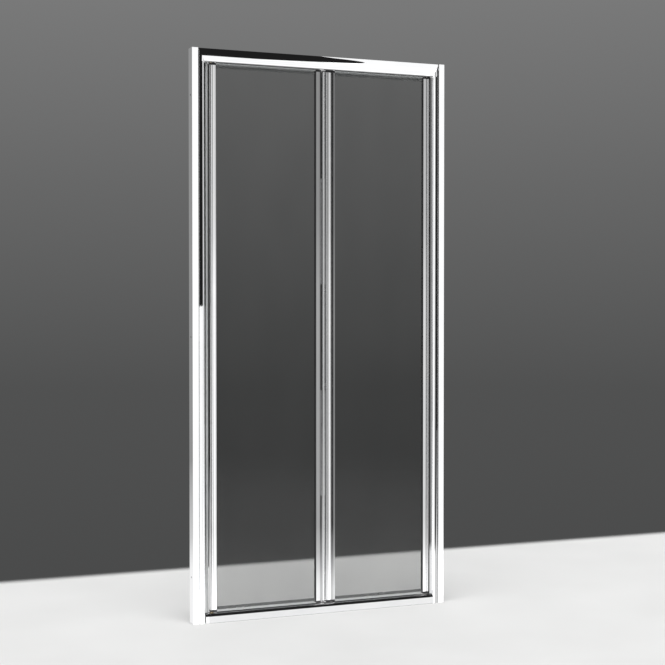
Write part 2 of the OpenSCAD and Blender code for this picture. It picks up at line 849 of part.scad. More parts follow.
module at_pivot_edge() { translate([pivot_edge, 0, 0]) children(); }
module at_closing_edge() { translate([closing_edge, 0, 0]) mirror([1, 0, 0]) children(); }
module at_stile_a() { translate([stile_a_x, 0, 0]) children(); }
module at_stile_b() { translate([stile_b_x, 0, 0]) children(); }

// ---- end caps and pins ----

module outer_cap(z0, plug_z0) {
    difference() {
        union() {
            upright(z0, z0 + cap_t) outer_outline();
            upright(plug_z0, plug_z0 + plug_len) outer_cavity(plug_fit);
        }
        translate([pin_inset, 0, min(z0, plug_z0) - cut])
            cylinder(r = pin_r + pin_fit / 2, h = cap_t + plug_len + 2 * cut);
    }
}

module outer_cap_top() { outer_cap(stile_z1, stile_z1 - plug_len); }
module outer_cap_bottom() { outer_cap(stile_z0 - cap_t, stile_z0); }

pin_top_z1 = track_z + bush_top_len - pin_end_gap;
carriage_z0 = track_z + carriage_low;
carriage_z1 = track_top - carriage_high;
carriage_pin_z1 = carriage_z0 + carriage_pin_len;
shoe_len = 2 * (closing_gap + pin_inset - shoe_gap);
shoe_z0 = groove_z + shoe_low;
shoe_z1 = bottom_rail_h - shoe_drop;

module pivot_pin_top() {
    color(STEEL) translate([pivot_x, 0, stile_z1 - plug_len])
        cylinder(r = pin_r, h = pin_top_z1 - stile_z1 + plug_len);
}

module pivot_pin_bottom() {
    z0 = pin_floor + pin_end_gap;
    color(STEEL) translate([pivot_x, 0, z0]) cylinder(r = pin_r, h = stile_z0 + plug_len - z0);
}

module carriage_pin() {
    color(STEEL) translate([track_x, 0, stile_z1 - plug_len])
        cylinder(r = pin_r, h = carriage_pin_z1 - stile_z1 + plug_len);
}

module guide_pin() {
    z0 = shoe_z0 + shoe_floor + pin_end_gap;
    color(STEEL) translate([track_x, 0, z0]) cylinder(r = pin_r, h = stile_z0 + plug_len - z0);
}

// The two end caps of a hinge stile: its outline as the first child, its cavity as the second
module hinge_caps() {
    upright(stile_z1, stile_z1 + cap_t) children(0);
    upright(stile_z1 - plug_len, stile_z1 + cut) children(1);
    upright(stile_z0 - cap_t, stile_z0) children(0);
    upright(stile_z0 - cut, stile_z0 + plug_len) children(1);
}

module caps_hinge_a() {
    color(DARK) at_stile_a() hinge_caps() {
        stile_a_outline();
        stile_a_cavity(plug_fit);
    }
}

module caps_hinge_b() {
    color(DARK) at_stile_b() hinge_caps() {
        stile_b_outline();
        stile_b_cavity(plug_fit);
    }
}

// ---- hinge ----

module knuckle(i) {
    z0 = stile_z0 + i * knuckle_pitch + knuckle_gap / 2;
    translate([hinge_x, -stile_front, z0]) cylinder(r = knuckle_r, h = knuckle_pitch - knuckle_gap);
}

module rod_bore() {
    translate([hinge_x, -stile_front, stile_z0 - cut])
        cylinder(r = rod_r + pin_fit, h = stile_h + 2 * cut);
}

module web(i, x0, x1, y0, y1) {
    z0 = stile_z0 + i * knuckle_pitch + knuckle_gap / 2;
    box3([x0, y0, z0], [x1, y1, z0 + knuckle_pitch - knuckle_gap]);
}

strip_a_x = hinge_x - hinge_reach_a;
strip_a_y = stile_groove_d - stile_front;
strip_b_x = hinge_x + hinge_reach_b;
web_b_y = web_set - stile_front;
strip_y1 = stile_back - lip_t;
strip_screw_len = strip_t + stile_wall + strip_screw_reach;

module hinge_strip_a() {
    color(CHROME) difference() {
        union() {
            upright(stile_z0, stile_z1) box2([strip_a_x, strip_a_y], [strip_a_x + strip_t, strip_y1]);
            for (i = [0 : 2 : knuckles - 1]) {
                knuckle(i);
                web(i, strip_a_x, hinge_x - rod_r, -stile_front - web_front, strip_a_y + cut);
            }
        }
        rod_bore();
        strip_holes(strip_a_x - cut, strip_a_x + strip_t + cut);
    }
}

module hinge_strip_b() {
    color(CHROME) difference() {
        union() {
            upright(stile_z0, stile_z1)
                box2([strip_b_x - strip_t, web_b_y + ridge_r], [strip_b_x, strip_y1]);
            for (i = [1 : 2 : knuckles - 1]) {
                knuckle(i);
                web(i, hinge_x + rod_r, strip_b_x - strip_t / 2, web_b_y, web_b_y + web_t);
            }
        }
        rod_bore();
        strip_holes(strip_b_x - strip_t - cut, strip_b_x + cut);
    }
}

module hinge_rod() {
    color(STEEL) translate([hinge_x, -stile_front, stile_z0 - rod_end])
        cylinder(r = rod_r, h = stile_h + 2 * rod_end);
}

// A cap on the rod's upper end, standing on Z = 0
module rod_cap() {
    difference() {
        cylinder(r = knuckle_r - knuckle_gap, h = rod_cap_t);
        translate([0, 0, -cut]) cylinder(r = rod_r + pin_fit, h = rod_end + cut);
    }
}

module rod_caps() {
    color(DARK) translate([hinge_x, -stile_front, 0]) {
        translate([0, 0, stile_z1]) rod_cap();
        translate([0, 0, stile_z0]) mirror([0, 0, 1]) rod_cap();
    }
}

// Screws through a hinge strip at x, with their heads towards +X (s = 1) or -X (s = -1)
module strip_screw_row(x, s) {
    color(STEEL) for (z = strip_screw_z)
        translate([x, strip_screw_set, z]) rotate([0, 90 * s, 0])
            pan_screw(strip_screw_d, strip_screw_len);
}

// Soft bead on the lip, against the other leaf's stile
module hinge_seal() {
    x0 = stile_a_x + lip_x;
    color(RUBBER) upright(stile_z0, stile_z1)
        round2([x0, stile_back - lip_t], [x0 + lip_gap - bead_gap, stile_back], lip_t / 3);
}

// ---- glass, gaskets and seals ----

// The glass of a leaf between the backs of its two pockets
module glass(x0, x1) {
    color(GLASS) box3([x0 + gasket_t, -glass_t / 2, stile_z0],
                      [x1 - gasket_t, glass_t / 2, stile_z1]);
}

glass_a_x0 = pivot_edge + outer_stile_w - pocket_depth;
glass_a_x1 = stile_a_x + pocket_depth;
glass_b_x0 = stile_b_x + hinge_stile_b_w - pocket_depth;
glass_b_x1 = closing_edge - outer_stile_w + pocket_depth;

// A gasket from its pocket's back at x, open towards +X
module gasket(x) {
    len = pocket_depth + gasket_lip;
    color(RUBBER) translate([x, 0, 0]) upright(stile_z0, stile_z1) difference() {
        box2([0, -pocket_w / 2], [len, pocket_w / 2]);
        box2([gasket_t, -glass_t / 2], [len + cut, glass_t / 2]);
        // the lips are bevelled to the glass
        for (m = [0, 1])
            mirror([0, m]) polygon([[len, glass_t / 2], [len + cut, glass_t / 2],
                                    [len + cut, pocket_w], [len - gasket_t, pocket_w / 2]]);
    }
}

module gasket_left(x) {
    translate([2 * x, 0, 0]) mirror([1, 0, 0]) gasket(x);
}

// Clear strip gripping a glass edge, with a fin towards the rail
module edge_seal(x0, x1, z_edge, up) {
    x_in = pocket_depth + gasket_lip;
    fin = up ? top_z - seal_gap - z_edge : z_edge - bottom_rail_h - seal_gap;
    y = glass_t / 2;
    color(CLEAR) translate([0, 0, z_edge]) mirror([0, 0, up ? 0 : 1])
        level(x0 + x_in, x1 - x_in) {
            box2([-y - seal_t, -seal_grip], [-y, seal_t]);
            box2([y, -seal_grip], [y + seal_t, seal_t]);
            box2([-y - seal_t, 0], [y + seal_t, seal_t]);
            box2([-seal_t / 2, seal_t / 2], [seal_t / 2, fin]);
        }
}

module leaf_magnet() {
    color(DARK) upright(stile_z0, stile_z1)
        magnet_strip(closing_edge, closing_edge + magnet_t);
}

// ---- carriage and guide shoe ----

module carriage() {
    color(DARK) difference() {
        rotate([90, 0, 0]) linear_extrude(carriage_w, center = true)
            round2([track_x - carriage_len / 2, carriage_z0],
                   [track_x + carriage_len / 2, carriage_z1], slider_r);
        translate([track_x, 0, carriage_z0 - cut])
            cylinder(r = pin_r + pin_fit, h = carriage_pin_len + pin_end_gap + cut);
        for (s = [-1, 1])
            translate([track_x + s * axle_reach, 0, axle_z]) rotate([90, 0, 0])
                cylinder(r = axle_r + pin_fit, h = 2 * carriage_w, center = true);
    }
}

module axle(s) {
    color(STEEL) translate([track_x + s * axle_reach, 0, axle_z]) rotate([90, 0, 0])
        cylinder(r = axle_r, h = track_w - 2 * side_gap, center = true);
}

module wheel_pair(s) {
    y = carriage_w / 2 + side_gap;
    color(NYLON) translate([track_x + s * axle_reach, 0, axle_z]) for (m = [0, 1])
        mirror([0, m, 0]) rotate([-90, 0, 0]) translate([0, 0, y]) difference() {
            cylinder(r = wheel_r, h = wheel_t);
            translate([0, 0, -cut]) cylinder(r = axle_r + pin_fit / 2, h = wheel_t + 2 * cut);
            translate([0, 0, wheel_t - wheel_dish]) difference() {
                cylinder(r = wheel_r - wheel_rim, h = wheel_t);
                translate([0, 0, -cut]) cylinder(r = axle_r + wheel_rim, h = wheel_t + 2 * cut);
            }
        }
}

module guide_shoe() {
    color(NYLON) difference() {
        upright(shoe_z0, shoe_z1)
            round2([track_x - shoe_len / 2, shoe_fit - groove_w / 2],
                   [track_x + shoe_len / 2, groove_w / 2 - shoe_fit], slider_r);
        translate([track_x, 0, shoe_z0 + shoe_floor]) cylinder(r = pin_r + pin_fit, h = groove_depth);
    }
}

// ---- the nodes ----

color(CHROME) left_hand() wall_channel();  // wall_channel_left
color(CHROME) wall_channel();  // wall_channel_right
color(CHROME) left_hand() jamb();  // jamb_left
color(CHROME) jamb();  // jamb_right
jamb_screws();
top_rail();
bottom_rail();
left_hand() corner_top();  // corner_top_left
corner_top();  // corner_top_right
left_hand() corner_bottom();  // corner_bottom_left
corner_bottom();  // corner_bottom_right
corner_screws();
pivot_seal();
jamb_magnet();
pivot_block_top();
pivot_block_bottom();
bush_top();
bush_bottom();
block_screws();
track_buffer();

color(CHROME) at_pivot_edge() outer_stile();  // pivot_stile
color(CHROME) at_stile_a() stile_a();  // hinge_stile_a
glass(glass_a_x0, glass_a_x1);  // glass_a
gasket(glass_a_x0);  // gasket_a_outer
gasket_left(glass_a_x1);  // gasket_a_inner
edge_seal(glass_a_x0, glass_a_x1, stile_z0, false);  // bottom_seal_a
edge_seal(glass_a_x0, glass_a_x1, stile_z1, true);  // top_seal_a
color(DARK) at_pivot_edge() outer_cap_top();  // cap_pivot_top
color(DARK) at_pivot_edge() outer_cap_bottom();  // cap_pivot_bottom
caps_hinge_a();
pivot_pin_top();
pivot_pin_bottom();
hinge_strip_a();
hinge_rod();
rod_caps();
strip_screw_row(strip_a_x + strip_t, 1);  // strip_screws_a
hinge_seal();

color(CHROME) at_closing_edge() outer_stile();  // closing_stile
color(CHROME) at_stile_b() stile_b();  // hinge_stile_b
glass(glass_b_x0, glass_b_x1);  // glass_b
gasket_left(glass_b_x1);  // gasket_b_outer
gasket(glass_b_x0);  // gasket_b_inner
edge_seal(glass_b_x0, glass_b_x1, stile_z0, false);  // bottom_seal_b
edge_seal(glass_b_x0, glass_b_x1, stile_z1, true);  // top_seal_b
color(DARK) at_closing_edge() outer_cap_top();  // cap_closing_top
color(DARK) at_closing_edge() outer_cap_bottom();  // cap_closing_bottom
caps_hinge_b();
carriage_pin();
guide_pin();
hinge_strip_b();
strip_screw_row(strip_b_x - strip_t, -1);  // strip_screws_b
leaf_magnet();

carriage();
axle(-1);  // axle_front
wheel_pair(-1);  // wheels_front
axle(1);  // axle_rear
wheel_pair(1);  // wheels_rear
guide_shoe();
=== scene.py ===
"""Bifold shower door: finishes, floor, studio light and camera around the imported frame."""
import math

import bpy
from mathutils import Euler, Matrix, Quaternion, Vector


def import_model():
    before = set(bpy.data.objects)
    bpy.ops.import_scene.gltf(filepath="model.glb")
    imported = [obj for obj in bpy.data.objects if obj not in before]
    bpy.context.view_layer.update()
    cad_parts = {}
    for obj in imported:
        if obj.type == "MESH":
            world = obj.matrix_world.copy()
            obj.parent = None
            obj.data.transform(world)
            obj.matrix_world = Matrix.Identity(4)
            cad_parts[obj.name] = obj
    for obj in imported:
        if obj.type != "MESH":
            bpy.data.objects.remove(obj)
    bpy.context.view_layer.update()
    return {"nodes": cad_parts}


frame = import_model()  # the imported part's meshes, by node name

MM = 0.001

# ---------------------------------------------------------------- camera

PHOTO_PX = 665  # the photograph's width
FOCAL_PX = 1428.9  # the focal length in its pixels
SENSOR_MM = 36.0
CAMERA_PLACE = Vector((-1.7961, -4.4103, 1.0444))
CAMERA_YAW = math.radians(22.634)
CAMERA_PITCH = math.radians(-1.309)

# ---------------------------------------------------------------- materials

NOISE_LOW, NOISE_HIGH = 0.3, 0.7  # the range that noise mostly stays in
GRAINS = 1800  # per metre, on moulded pieces


def new_material(name, **sockets):
    """A material whose Principled shader holds the given constants on its own sockets."""
    made = bpy.data.materials.new(name)
    made.use_nodes = True
    shader = made.node_tree.nodes["Principled BSDF"]
    for socket, value in sockets.items():
        shader.inputs[socket.replace("_", " ")].default_value = value
    return made, made.node_tree, shader


def noise(tree, scale, stretch=(1, 1, 1), detail=2.0):
    """Noise from 0 to 1 in the object's own coordinates, scale in features per metre."""
    coords = tree.nodes.new("ShaderNodeTexCoord")
    place = tree.nodes.new("ShaderNodeMapping")
    place.inputs["Scale"].default_value = stretch
    made = tree.nodes.new("ShaderNodeTexNoise")
    made.inputs["Scale"].default_value = scale
    made.inputs["Detail"].default_value = detail
    tree.links.new(coords.outputs["Object"], place.inputs["Vector"])
    tree.links.new(place.outputs["Vector"], made.inputs["Vector"])
    return made.outputs["Fac"]


def mapped(tree, value, low, high, start=NOISE_LOW, end=NOISE_HIGH):
    """The value's range start..end spread over low..high."""
    made = tree.nodes.new("ShaderNodeMapRange")
    made.inputs["From Min"].default_value = start
    made.inputs["From Max"].default_value = end
    made.inputs["To Min"].default_value = low
    made.inputs["To Max"].default_value = high
    tree.links.new(value, made.inputs["Value"])
    return made.outputs["Result"]


def smooth(result):
    """Makes a mapped range ease in and out."""
    result.node.interpolation_type = "SMOOTHSTEP"
    return result


def brighter(tree, first, second):
    """The larger of two values."""
    made = tree.nodes.new("ShaderNodeMath")
    made.operation = "MAXIMUM"
    tree.links.new(first, made.inputs[0])
    tree.links.new(second, made.inputs[1])
    return made.outputs["Value"]


def ramp(tree, value, stops):
    """A colour ramp over the value, from (position, colour) stops."""
    made = tree.nodes.new("ShaderNodeValToRGB")
    band = made.color_ramp
    while len(band.elements) < len(stops):
        band.elements.new(0.5)
    for element, (position, colour) in zip(band.elements, stops):
        element.position = position
        element.color = (*colour, 1.0)
    tree.links.new(value, made.inputs["Fac"])
    return made.outputs["Color"]


def blend(tree, value, first, second):
    """The first colour where noise is low, the second where it is high."""
    return ramp(tree, value, [(NOISE_LOW, first), (NOISE_HIGH, second)])


def bump(tree, shader, height, depth):
    """Relief of the given depth in metres from a height between 0 and 1."""
    made = tree.nodes.new("ShaderNodeBump")
    made.inputs["Distance"].default_value = depth
    tree.links.new(height, made.inputs["Height"])
    tree.links.new(made.outputs["Normal"], shader.inputs["Normal"])


def bright_profile(name, along):
    """Polished anodised aluminium, with faint drawing lines along the profile's length."""
    made, tree, shader = new_material(name, Metallic=1.0)
    lines = tuple(0.002 if axis == along else 1.0 for axis in "xyz")
    streaks = noise(tree, 2600, lines, detail=3)
    clouds = noise(tree, 9, detail=3)
    tint = blend(tree, clouds, (0.86, 0.865, 0.875), (0.91, 0.912, 0.915))
    tree.links.new(tint, shader.inputs["Base Color"])
    tree.links.new(mapped(tree, streaks, 0.01, 0.024), shader.inputs["Roughness"])
    bump(tree, shader, noise(tree, 240, lines, detail=1), 0.00004 * MM)
    return made


def chromed():
    """Chrome plating over a casting: a mirror with a barely wavy surface."""
    made, tree, shader = new_material("chromed_corner", Metallic=1.0)
    waves = noise(tree, 160, detail=2)
    tint = blend(tree, noise(tree, 30), (0.885, 0.89, 0.9), (0.93, 0.932, 0.935))
    tree.links.new(tint, shader.inputs["Base Color"])
    tree.links.new(mapped(tree, waves, 0.03, 0.06), shader.inputs["Roughness"])
    bump(tree, shader, waves, 0.004 * MM)
    return made


def steel():
    """Turned stainless steel with fine tool marks."""
    made, tree, shader = new_material("steel", Metallic=1.0)
    marks = noise(tree, 5200, (1, 1, 0.2), detail=3)
    tint = blend(tree, marks, (0.52, 0.515, 0.505), (0.66, 0.655, 0.64))
    tree.links.new(tint, shader.inputs["Base Color"])
    tree.links.new(mapped(tree, marks, 0.22, 0.38), shader.inputs["Roughness"])
    bump(tree, shader, marks, 0.006 * MM)
    return made


def clear_glass():
    """Toughened glass with a breath of grey, barely wavy as rolled glass is. The grey is darker than the real
    clear glass: part of it is painted shade, standing in for the shaded floor inside the enclosure behind the
    door.
    """
    made, tree, shader = new_material("clear_glass", Transmission_Weight=1.0, IOR=1.45, Roughness=0.0)
    waves = noise(tree, 7, (1, 1, 0.4), detail=1)
    # the tint: a little real grey, and more painted shade of what lies behind the panes
    tint = blend(tree, waves, (0.565, 0.57, 0.568), (0.605, 0.609, 0.606))
    tree.links.new(tint, shader.inputs["Base Color"])
    bump(tree, shader, waves, 0.02 * MM)
    return made


def clear_seal():
    """Soft clear strip, milky where it has been pressed."""
    made, tree, shader = new_material("clear_seal", Transmission_Weight=0.85, IOR=1.45)
    clouds = noise(tree, 60, (0.2, 1, 1), detail=4)
    tint = blend(tree, clouds, (0.8, 0.83, 0.83), (0.9, 0.92, 0.92))
    tree.links.new(tint, shader.inputs["Base Color"])
    tree.links.new(mapped(tree, clouds, 0.12, 0.28), shader.inputs["Roughness"])
    bump(tree, shader, clouds, 0.02 * MM)
    return made


def milky_seal():
    """Soft clear strip seen edge on, where it looks milky."""
    made, tree, shader = new_material("milky_seal", Transmission_Weight=0.3, IOR=1.45)
    clouds = noise(tree, 60, (1, 1, 0.1), detail=4)
    tint = blend(tree, clouds, (0.72, 0.74, 0.74), (0.82, 0.84, 0.84))
    tree.links.new(tint, shader.inputs["Base Color"])
    tree.links.new(mapped(tree, clouds, 0.2, 0.35), shader.inputs["Roughness"])
    bump(tree, shader, clouds, 0.02 * MM)
    return made


def moulded(name, dark, light, rough, depth=0.008, stretch=(1, 1, 1)):
    """A moulded or extruded plastic or rubber: mottled tone, grainy sheen and fine relief."""
    made, tree, shader = new_material(name)
    clouds = noise(tree, 45, stretch, detail=4)
    grains = noise(tree, GRAINS, stretch, detail=3)
    tree.links.new(blend(tree, clouds, dark, light), shader.inputs["Base Color"])
    tree.links.new(mapped(tree, grains, *rough), shader.inputs["Roughness"])
    bump(tree, shader, grains, depth * MM)
    return made


def brass():
    """Turned brass, a little dulled."""
    made, tree, shader = new_material("bush_brass", Metallic=1.0)
    marks = noise(tree, 3800, (1, 1, 0.15), detail=3)
    tint = blend(tree, noise(tree, 260), (0.33, 0.27, 0.17), (0.45, 0.38, 0.26))
    tree.links.new(tint, shader.inputs["Base Color"])
    tree.links.new(mapped(tree, marks, 0.2, 0.36), shader.inputs["Roughness"])
    bump(tree, shader, marks, 0.005 * MM)
    return made


UPRIGHT = bright_profile("bright_upright", "z")
LEVEL = bright_profile("bright_level", "x")
EXTRUDED = (1, 1, 0.1)  # grains and clouds drawn out along the length
RUBBER = moulded("gasket", (0.012, 0.012, 0.013), (0.022, 0.022, 0.023), (0.5, 0.68), stretch=EXTRUDED)
MAGNET = moulded(
    "magnetic_strip", (0.012, 0.012, 0.013), (0.022, 0.022, 0.023), (0.42, 0.6), stretch=EXTRUDED
)
POLYMER = moulded("dark_polymer", (0.016, 0.016, 0.018), (0.03, 0.03, 0.032), (0.38, 0.55), depth=0.015)
BUFFER = moulded("buffer", (0.014, 0.014, 0.014), (0.026, 0.026, 0.026), (0.65, 0.85), depth=0.02)
WHITE = moulded("white_nylon", (0.76, 0.75, 0.72), (0.84, 0.83, 0.8), (0.3, 0.45), depth=0.006)

FINISHES = {
    "chromed_corner": chromed(),
    "steel": steel(),
    "clear_glass": clear_glass(),
    "gasket": RUBBER,
    "clear_seal": clear_seal(),
    "magnetic_strip": MAGNET,
    "dark_polymer": POLYMER,
    "buffer": BUFFER,
    "white_nylon": WHITE,
    "bush_brass": brass(),
}
RAILS = ("top_rail", "bottom_rail")
MILKY = milky_seal()


def finish_for(node, slot_name):
    """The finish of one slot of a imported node."""
    if node == "pivot_seal":
        return MILKY
    if slot_name != "bright_profile":
        return FINISHES[slot_name]
    return LEVEL if node in RAILS else UPRIGHT


def dress_nodes():
    """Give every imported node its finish, by the slot it has in the record."""
    for name in sorted(frame["nodes"]):
        for held in frame["nodes"][name].material_slots:
            held.material = finish_for(name, held.material.name.split(".")[0])


# ---------------------------------------------------------------- stage and light

FLOOR_REACH = 10.0
FLOOR_TONE = (0.8, 0.8, 0.795)
FLOOR_MOTTLE = 0.97  # the darker clouds' share of that tone
FLOOR_ROUND = (1.9, 5.2)  # it fades out between these distances from the door
FLOOR_BEHIND = (0.86, 0.96)  # and between these depths behind it
SURROUND = [  # sine of the angle above level, and the backdrop's tone there
    (-0.6, (0.125, 0.126, 0.126)), (-0.22, (0.066, 0.067, 0.067)), (-0.06, (0.082, 0.083, 0.083)),
    (0.08, (0.135, 0.136, 0.136)), (0.2, (0.19, 0.191, 0.191)),
]
STUDIO_DARK = (0.014, 0.014, 0.014)
SUN_ENERGY = 3.3
SUN_SPREAD = math.radians(60)
SUN_TOWARDS = (0.25, 0.5, -1.0)

# Groups of nodes that the cards are linked to.
PANES = ("glass_a", "glass_b")
JAMBS = ("jamb_left", "jamb_right")
CHANNELS = ("wall_channel_left", "wall_channel_right")
TOP = ("top_rail", "corner_top_left", "corner_top_right")
SILL = ("bottom_rail", "corner_bottom_left", "corner_bottom_right")
HINGES = ("hinge_stile_a", "hinge_strip_a", "hinge_strip_b")
STILES = ("pivot_stile", "hinge_stile_b", "closing_stile")
LOW_NODES = ("jamb_left", "corner_bottom_left")
LEFT_SKIPS = ("jamb_left", "corner_top_left", "wall_channel_right", *HINGES, *PANES)
RIGHT_SKIPS = ("jamb_right", "corner_top_right", *PANES)
BACK_SKIPS = (*JAMBS, *PANES, "wall_channel_left", "pivot_stile")

WHITE_CARD = 1.1  # brightness that bright metal mirrors as white
HINGE_BRIGHTNESS = 0.65
CARD_AWAY, FAR_AWAY = 5.0, 7.0  # from the door's middle to a card
CARD_REACH = (-1.4, 9.2)  # how high a standing card's middle is, and how tall the card is
LOW_REACH = (-2.5, 7.0)
RAIL_REACH = (-2.4, 8.3)
PANE_REACH = (1.6, 6.0)
HINGE_CARDS = (("hinge_card", -5.4, 4.0), ("hinge_near_card", 0.175, 2.05))  # place across, width
BACK_CARDS = (  # place across, width and brightness
    ("back_card", 2.0, 5.4, 1.0), ("back_left_card", -4.6, 3.6, 0.9), ("back_right_card", 6.4, 3.4, 0.9),
)

FRONT_DISTANCE = 2.0
FRONT_TOP, FRONT_BOTTOM = 2.4, -3.6
FRONT_BRIGHTNESS = 1.3
FRONT_TONES = [  # place across the door's front, and the tone that a flat face there mirrors
    (-0.42, 0.2), (-0.3875, 0.03), (-0.3847, 0.03), (-0.3833, 0.95), (-0.379, 0.9), (-0.377, 0.86),
    (-0.3725, 0.84), (-0.369, 0.45), (-0.021, 0.24), (-0.0165, 0.35), (-0.006, 0.23), (-0.005, 0.02),
    (0.0085, 0.02), (0.0105, 0.14), (0.0165, 0.14), (0.0185, 0.33), (0.0245, 0.3), (0.0255, 0.95),
    (0.0305, 0.95), (0.0315, 0.35), (0.034, 0.3), (0.0348, 0.0), (0.0398, 0.0), (0.041, 0.22),
    (0.0475, 0.2), (0.36, 0.6), (0.3845, 0.6), (0.3862, 0.03), (0.3908, 0.03), (0.392, 0.28),
    (0.398, 0.28), (0.45, 0.28),
]
FRONT_UP = [(-3.6, 1.0), (1.1, 1.0), (1.47, 0.75), (2.4, 0.65)]  # height on the card, and its tone

# Share of a card's width from its left end seen from behind it, and the tone there.
LOW_GAP = [(0.0, 1.0), (0.585, 1.0), (0.59, 0.06), (0.62, 0.06), (0.625, 1.0), (1.0, 1.0)]
NOSE_FADE = [
    (0.0, 1.0), (0.35, 0.85), (0.384, 0.8), (0.388, 0.18), (0.428, 0.18), (0.432, 0.66), (0.5, 0.56),
    (0.69, 0.36), (0.88, 0.16), (1.0, 0.0),
]
BACK_TONES = [(0.0, 0.42), (0.3, 0.7), (0.55, 0.95), (0.8, 0.62), (1.0, 0.4)]
PANE_SHEEN = [(0.0, 0.0), (0.3, 0.04), (0.6, 0.4), (1.0, 1.0)]  # this one from a card's foot to its top

# Depth on the floor, from before the door to behind it, and the tone there.
FLOOR_FADE = [(-1.7, 0.0), (-1.06, 0.15), (-0.36, 0.6), (0.9, 0.6), (1.6, 0.3), (4.5, 0.0)]
SILL_FADE = [(-1.7, 0.0), (-1.06, 0.3), (-0.36, 0.84), (0.9, 0.88), (1.6, 0.4), (4.5, 0.0)]
NOSE_FLOOR_FADE = [(-1.1, 0.0), (-0.9, 0.64), (0.9, 0.6), (1.6, 0.3), (4.5, 0.0)]
GLOW_WIDTH, GLOW_HEIGHT = 14.0, 0.0005

OVERHEAD_START = Vector((0.78, 0.03, 4.0))  # where the overhead card's left edge begins
OVERHEAD_EDGE = Vector((0.3035, -0.9528, 0.0))  # and the direction that it runs in
OVERHEAD_LENGTH, OVERHEAD_WIDTH = 9.0, 5.0
WEDGE_FOOT = Vector((1.5, -5.0, 1.6))  # the foot of the wedge card's left edge
WEDGE_LEAN = math.radians(20.3)
WEDGE_HEIGHT, WEDGE_WIDTH = 2.6, 4.5


def floor():
    """A plain pale floor that fades into the surround away from the door."""
    mesh = bpy.data.meshes.new("floor")
    corners = [(x * FLOOR_REACH, y * FLOOR_REACH, 0.0) for x, y in ((-1, -1), (1, -1), (1, 1), (-1, 1))]
    mesh.from_pydata(corners, [], [(0, 1, 2, 3)])
    made = bpy.data.objects.new("floor", mesh)
    bpy.context.scene.collection.objects.link(made)
    material, tree, shader = new_material("floor")
    clouds = noise(tree, 3, detail=4)
    dim = tuple(FLOOR_MOTTLE * tone for tone in FLOOR_TONE)
    tree.links.new(blend(tree, clouds, dim, FLOOR_TONE), shader.inputs["Base Color"])
    tree.links.new(mapped(tree, clouds, 0.55, 0.7), shader.inputs["Roughness"])
    coords = tree.nodes.new("ShaderNodeTexCoord")
    away = tree.nodes.new("ShaderNodeVectorMath")
    away.operation = "LENGTH"
    split = tree.nodes.new("ShaderNodeSeparateXYZ")
    clear = tree.nodes.new("ShaderNodeBsdfTransparent")
    mix = tree.nodes.new("ShaderNodeMixShader")
    tree.links.new(coords.outputs["Object"], away.inputs[0])
    tree.links.new(coords.outputs["Object"], split.inputs["Vector"])
    fade = brighter(
        tree,
        smooth(mapped(tree, away.outputs["Value"], 0.0, 1.0, *FLOOR_ROUND)),
        smooth(mapped(tree, split.outputs["Y"], 0.0, 1.0, *FLOOR_BEHIND)),
    )
    tree.links.new(fade, mix.inputs["Fac"])
    tree.links.new(shader.outputs["BSDF"], mix.inputs[1])
    tree.links.new(clear.outputs["BSDF"], mix.inputs[2])
    tree.links.new(mix.outputs["Shader"], tree.nodes["Material Output"].inputs["Surface"])
    mesh.materials.append(material)
    made.visible_glossy = False


def link_light(light, nodes, state):
    """Let a light reach only the named nodes (INCLUDE) or all but them (EXCLUDE)."""
    held = bpy.data.collections.new(light.name + "_nodes")
    for name in nodes:
        held.objects.link(frame["nodes"][name])
    for entry in held.collection_objects:
        entry.light_linking.link_state = state
    light.light_linking.receiver_collection = held


def softbox(name, middle, facing, size, brightness, across=None, up=None, only=(), skips=(), turn=0.0):
    """A rectangular light that reflections show and the camera doesn't.

    facing is the direction it shines in and turn its angle about that. across and up give its
    brightness along its width and height as (share of the length, brightness) stops. It
    reaches only the nodes in only, or all but those in skips.
    """
    light = bpy.data.lights.new(name, "AREA")
    light.shape = "RECTANGLE"
    light.size, light.size_y = size
    light.energy = brightness * light.size * light.size_y * math.pi
    if across or up:
        light.use_nodes = True
        tree = light.node_tree
        place = tree.nodes.new("ShaderNodeNewGeometry")
        split = tree.nodes.new("ShaderNodeSeparateXYZ")
        tones = tree.nodes.new("ShaderNodeVectorMath")
        tones.operation = "MULTIPLY"
        tones.inputs[0].default_value = (1.0, 1.0, 1.0)
        tones.inputs[1].default_value = (1.0, 1.0, 1.0)
        tree.links.new(place.outputs["Parametric"], split.inputs["Vector"])
        for slot, axis, stops in ((0, "X", across), (1, "Y", up)):
            if stops:
                band = ramp(tree, split.outputs[axis], [(at, (tone, tone, tone)) for at, tone in stops])
                tree.links.new(band, tones.inputs[slot])
        tree.links.new(tones.outputs["Vector"], tree.nodes["Emission"].inputs["Color"])
    made = bpy.data.objects.new(name, light)
    made.location = middle
    level = Vector(facing).to_track_quat("-Z", "Y")
    made.rotation_euler = (level @ Quaternion((0, 0, 1), turn)).to_euler()
    made.visible_camera = False
    made.visible_transmission = False
    made.visible_diffuse = False
    bpy.context.scene.collection.objects.link(made)
    if only:
        link_light(made, only, "INCLUDE")
    if skips:
        link_light(made, skips, "EXCLUDE")
    return made


def standing_card(name, side, middle, width, brightness=WHITE_CARD, away=CARD_AWAY, reach=CARD_REACH, **more):
    """An upright card on one side of the door, middle being its place along that side."""
    facing, place = {
        "front": ((0, 1, 0), (middle, -away)),
        "back": ((0, -1, 0), (middle, away)),
        "left": ((1, 0, 0), (-away, middle)),
        "right": ((-1, 0, 0), (away, middle)),
    }[side]
    height_middle, height = reach
    return softbox(name, (*place, height_middle), facing, (width, height), brightness, **more)


